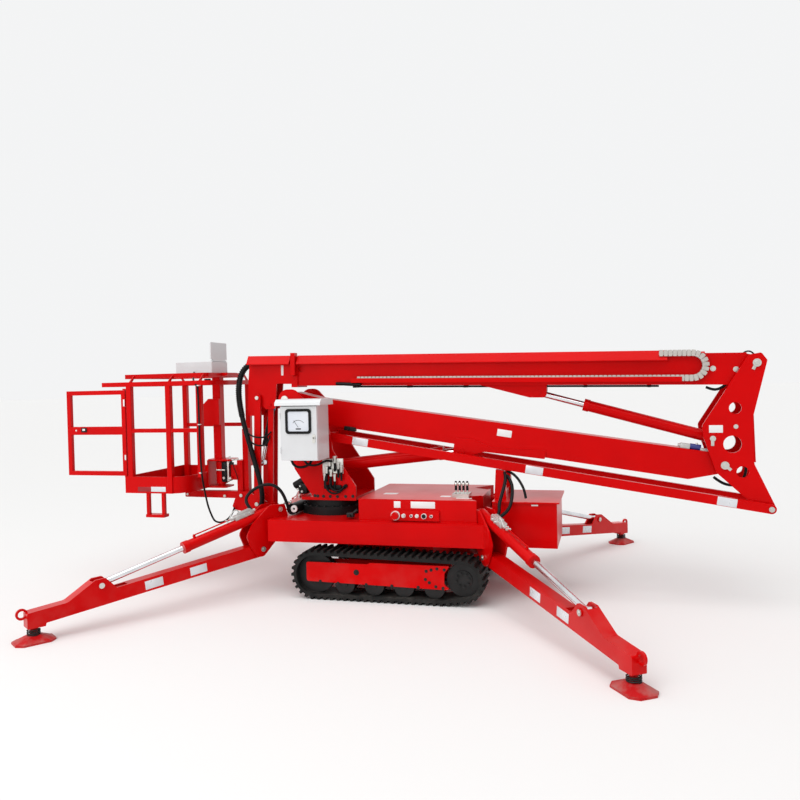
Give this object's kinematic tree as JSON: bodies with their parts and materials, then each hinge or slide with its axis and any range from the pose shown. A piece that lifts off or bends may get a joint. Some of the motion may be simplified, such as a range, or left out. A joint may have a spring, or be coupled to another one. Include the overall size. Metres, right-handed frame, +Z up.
{
  "type": "articulating boom lift",
  "caption": "Red tracked articulating boom lift on four outriggers, booms stowed, with jib and railed platform.",
  "frame": {"origin": "on the ground under the middle of the outer box", "axes": "+X towards the knuckle end (front), -X towards the platform, +Z up, -Y the right-hand side"},
  "size_m": [6.0621, 4.3044, 2.191],
  "materials": {
    "red_paint": "glossy bright red paint",
    "black_rubber": "dusty black rubber",
    "black_paint": "satin black paint",
    "white_cover": "light grey plastic",
    "chrome": "polished chrome",
    "grey_chain": "grey plastic chain",
    "zinc_steel": "zinc plated steel"
  },
  "bodies": {
    "chassis": {"chassis_frame": "red_paint", "power_cover": "red_paint", "control_panel": "black_paint", "lever_bank": "zinc_steel", "front_box": "red_paint", "boom_rest": "red_paint", "track_right": "black_rubber", "track_frame_right": "red_paint", "track_wheels_right": "red_paint", "track_left": "black_rubber", "track_frame_left": "red_paint", "track_wheels_left": "red_paint", "undercarriage_beam": "red_paint", "slew_base": "black_paint"},
    "turret": {"turret": "red_paint", "control_cabinet": "white_cover"},
    "cabinet_door": {"cabinet_door": "white_cover"},
    "lower_boom": {"lower_boom": "red_paint"},
    "link": {"link_bars": "red_paint"},
    "knuckle": {"knuckle": "red_paint"},
    "upper_boom": {"upper_boom": "red_paint", "cable_tray": "red_paint", "drag_chain": "grey_chain"},
    "telescope": {"telescope_boom": "red_paint"},
    "jib": {"jib_arm": "red_paint"},
    "jib_link": {"jib_link": "red_paint"},
    "rocker": {"jib_rocker": "red_paint"},
    "support": {"platform_support": "red_paint"},
    "basket": {"basket_frame": "red_paint", "control_box": "white_cover", "basket_step": "red_paint"},
    "gate": {"gate": "red_paint"},
    "control_lid": {"control_lid": "white_cover"},
    "lift_barrel": {"lift_barrel": "red_paint"},
    "lift_rod": {"lift_rod": "chrome"},
    "upper_barrel": {"upper_barrel": "red_paint"},
    "upper_rod": {"upper_rod": "chrome"},
    "jib_barrel": {"jib_barrel": "red_paint"},
    "jib_rod": {"jib_rod": "chrome"},
    "outrigger_front_right": {"outrigger_front_right": "red_paint", "outrigger_pad_front_right": "red_paint"},
    "leg_barrel_front_right": {"leg_barrel_front_right": "red_paint"},
    "leg_rod_front_right": {"leg_rod_front_right": "chrome"},
    "outrigger_front_left": {"outrigger_front_left": "red_paint", "outrigger_pad_front_left": "red_paint"},
    "leg_barrel_front_left": {"leg_barrel_front_left": "red_paint"},
    "leg_rod_front_left": {"leg_rod_front_left": "chrome"},
    "outrigger_rear_right": {"outrigger_rear_right": "red_paint", "outrigger_pad_rear_right": "red_paint"},
    "leg_barrel_rear_right": {"leg_barrel_rear_right": "red_paint"},
    "leg_rod_rear_right": {"leg_rod_rear_right": "chrome"},
    "outrigger_rear_left": {"outrigger_rear_left": "red_paint", "outrigger_pad_rear_left": "red_paint"},
    "leg_barrel_rear_left": {"leg_barrel_rear_left": "red_paint"},
    "leg_rod_rear_left": {"leg_rod_rear_left": "chrome"}
  },
  "joints": [
    {"name": "slew", "type": "hinge", "parent": "chassis", "child": "turret", "pos_m": [-0.58, 0, 0.635], "axis": [0, 0, 1], "range_deg": [-20, 20]},
    {"name": "cabinet_door_hinge", "type": "hinge", "parent": "turret", "child": "cabinet_door", "pos_m": [-0.83, -0.6143, 1.35], "axis": [0, 0, 1], "range_deg": [-110, 0]},
    {"name": "lower_boom_lift", "type": "hinge", "parent": "turret", "child": "lower_boom", "pos_m": [-0.93, 0, 1.65], "axis": [0, -1, 0], "range_deg": [0, 70]},
    {"name": "link_turn", "type": "hinge", "parent": "turret", "child": "link", "pos_m": [-0.613, 0, 1.323], "axis": [0, -1, 0], "range_deg": [0, 70]},
    {"name": "knuckle_turn", "type": "hinge", "parent": "lower_boom", "child": "knuckle", "pos_m": [2.679, 0, 1.077], "axis": [0, -1, 0], "range_deg": [-70, 0]},
    {"name": "upper_boom_lift", "type": "hinge", "parent": "knuckle", "child": "upper_boom", "pos_m": [2.915, 0, 1.864], "axis": [0, 1, 0], "range_deg": [0, 75]},
    {"name": "telescope_slide", "type": "slide", "parent": "upper_boom", "child": "telescope", "axis": [-0.9998, 0, 0.0192], "range_m": [0, 2.2]},
    {"name": "jib_lift", "type": "hinge", "parent": "telescope", "child": "jib", "pos_m": [-1.28, 0, 1.666], "axis": [0, 1, 0], "range_deg": [0, 90]},
    {"name": "jib_link_turn", "type": "hinge", "parent": "telescope", "child": "jib_link", "pos_m": [-1.175, 0, 1.6], "axis": [0, 1, 0], "range_deg": [0, 90]},
    {"name": "rocker_turn", "type": "hinge", "parent": "jib", "child": "rocker", "pos_m": [-1.311, 0, 0.69], "axis": [0, 1, 0], "range_deg": [-90, 0]},
    {"name": "platform_level", "type": "hinge", "parent": "rocker", "child": "support", "pos_m": [-1.485, 0, 0.762], "axis": [0, 1, 0], "range_deg": [-75, 0]},
    {"name": "basket_swivel", "type": "hinge", "parent": "support", "child": "basket", "pos_m": [-1.72, 0, 0.865], "axis": [0, 0, 1], "range_deg": [-35, 35]},
    {"name": "gate_hinge", "type": "hinge", "parent": "basket", "child": "gate", "pos_m": [-2.422, -0.475, 1.37], "axis": [0, 0, -1], "range_deg": [0, 90]},
    {"name": "control_lid_hinge", "type": "hinge", "parent": "basket", "child": "control_lid", "pos_m": [-1.724, 0, 2.019], "axis": [0, 1, 0], "range_deg": [-90, 0]},
    {"name": "lift_barrel_turn", "type": "hinge", "parent": "turret", "child": "lift_barrel", "pos_m": [-0.52, 0, 1.045], "axis": [0, -1, 0], "range_deg": [0, 66.83]},
    {"name": "lift_rod_slide", "type": "slide", "parent": "lift_barrel", "child": "lift_rod", "axis": [0.9935, 0, 0.114], "range_m": [0, 0.83437]},
    {"name": "upper_barrel_turn", "type": "hinge", "parent": "knuckle", "child": "upper_barrel", "pos_m": [2.594, 0, 1.285], "axis": [0, 1, 0], "range_deg": [0, 66.22]},
    {"name": "upper_rod_slide", "type": "slide", "parent": "upper_barrel", "child": "upper_rod", "axis": [-0.9628, 0, 0.2703], "range_m": [0, 0.76068]},
    {"name": "jib_barrel_turn", "type": "hinge", "parent": "telescope", "child": "jib_barrel", "pos_m": [-1.175, 0, 1.6], "axis": [0, 1, 0], "range_deg": [0, 83.87]},
    {"name": "jib_rod_slide", "type": "slide", "parent": "jib_barrel", "child": "jib_rod", "axis": [-0.2245, 0, -0.9745], "range_m": [0, 0.16198]},
    {"name": "outrigger_fold_front_right", "type": "hinge", "parent": "chassis", "child": "outrigger_front_right", "pos_m": [0.908, -0.512, 0.365], "axis": [-0.8261, -0.5635, 0], "range_deg": [0, 88]},
    {"name": "leg_barrel_turn_front_right", "type": "hinge", "parent": "chassis", "child": "leg_barrel_front_right", "pos_m": [0.80769, -0.36495, 0.701], "axis": [-0.8261, -0.5635, 0], "range_deg": [0, 89.06]},
    {"name": "leg_rod_slide_front_right", "type": "slide", "parent": "leg_barrel_front_right", "child": "leg_rod_front_right", "axis": [0.5468, -0.8016, -0.2418], "range_m": [-0.52775, 0]},
    {"name": "outrigger_fold_front_left", "type": "hinge", "parent": "chassis", "child": "outrigger_front_left", "pos_m": [0.908, 0.512, 0.365], "axis": [0.8261, -0.5635, 0], "range_deg": [0, 88]},
    {"name": "leg_barrel_turn_front_left", "type": "hinge", "parent": "chassis", "child": "leg_barrel_front_left", "pos_m": [0.80769, 0.36495, 0.701], "axis": [0.8261, -0.5635, 0], "range_deg": [0, 89.06]},
    {"name": "leg_rod_slide_front_left", "type": "slide", "parent": "leg_barrel_front_left", "child": "leg_rod_front_left", "axis": [0.5468, 0.8016, -0.2418], "range_m": [-0.52775, 0]},
    {"name": "outrigger_fold_rear_right", "type": "hinge", "parent": "chassis", "child": "outrigger_rear_right", "pos_m": [-1.108, -0.512, 0.365], "axis": [-0.8261, 0.5635, 0], "range_deg": [0, 88]},
    {"name": "leg_barrel_turn_rear_right", "type": "hinge", "parent": "chassis", "child": "leg_barrel_rear_right", "pos_m": [-1.00769, -0.36495, 0.701], "axis": [-0.8261, 0.5635, 0], "range_deg": [0, 89.06]},
    {"name": "leg_rod_slide_rear_right", "type": "slide", "parent": "leg_barrel_rear_right", "child": "leg_rod_rear_right", "axis": [-0.5468, -0.8016, -0.2418], "range_m": [-0.52775, 0]},
    {"name": "outrigger_fold_rear_left", "type": "hinge", "parent": "chassis", "child": "outrigger_rear_left", "pos_m": [-1.108, 0.512, 0.365], "axis": [0.8261, 0.5635, 0], "range_deg": [0, 88]},
    {"name": "leg_barrel_turn_rear_left", "type": "hinge", "parent": "chassis", "child": "leg_barrel_rear_left", "pos_m": [-1.00769, 0.36495, 0.701], "axis": [0.8261, 0.5635, 0], "range_deg": [0, 89.06]},
    {"name": "leg_rod_slide_rear_left", "type": "slide", "parent": "leg_barrel_rear_left", "child": "leg_rod_rear_left", "axis": [-0.5468, 0.8016, -0.2418], "range_m": [-0.52775, 0]}
  ],
  "couplings": [
    {"joint": "link_turn", "follows": "lower_boom_lift", "ratio": 1},
    {"joint": "knuckle_turn", "follows": "lower_boom_lift", "ratio": -1},
    {"joint": "jib_link_turn", "follows": "jib_lift", "ratio": 1},
    {"joint": "rocker_turn", "follows": "jib_lift", "ratio": -1},
    {"joint": "platform_level", "follows": "upper_boom_lift", "ratio": -1},
    {"joint": "lift_barrel_turn", "follows": "lower_boom_lift", "ratio": 0.95466},
    {"joint": "lift_rod_slide", "follows": "lower_boom_lift", "m_per_rad": 0.68293},
    {"joint": "upper_barrel_turn", "follows": "upper_boom_lift", "ratio": 0.88294},
    {"joint": "upper_rod_slide", "follows": "upper_boom_lift", "m_per_rad": 0.58111},
    {"joint": "jib_barrel_turn", "follows": "jib_lift", "ratio": 0.93187},
    {"joint": "jib_rod_slide", "follows": "jib_lift", "m_per_rad": 0.10311},
    {"joint": "leg_barrel_turn_front_right", "follows": "outrigger_fold_front_right", "ratio": 1.012},
    {"joint": "leg_rod_slide_front_right", "follows": "outrigger_fold_front_right", "m_per_rad": -0.3436},
    {"joint": "leg_barrel_turn_front_left", "follows": "outrigger_fold_front_left", "ratio": 1.012},
    {"joint": "leg_rod_slide_front_left", "follows": "outrigger_fold_front_left", "m_per_rad": -0.3436},
    {"joint": "leg_barrel_turn_rear_right", "follows": "outrigger_fold_rear_right", "ratio": 1.012},
    {"joint": "leg_rod_slide_rear_right", "follows": "outrigger_fold_rear_right", "m_per_rad": -0.3436},
    {"joint": "leg_barrel_turn_rear_left", "follows": "outrigger_fold_rear_left", "ratio": 1.012},
    {"joint": "leg_rod_slide_rear_left", "follows": "outrigger_fold_rear_left", "m_per_rad": -0.3436}
  ]
}
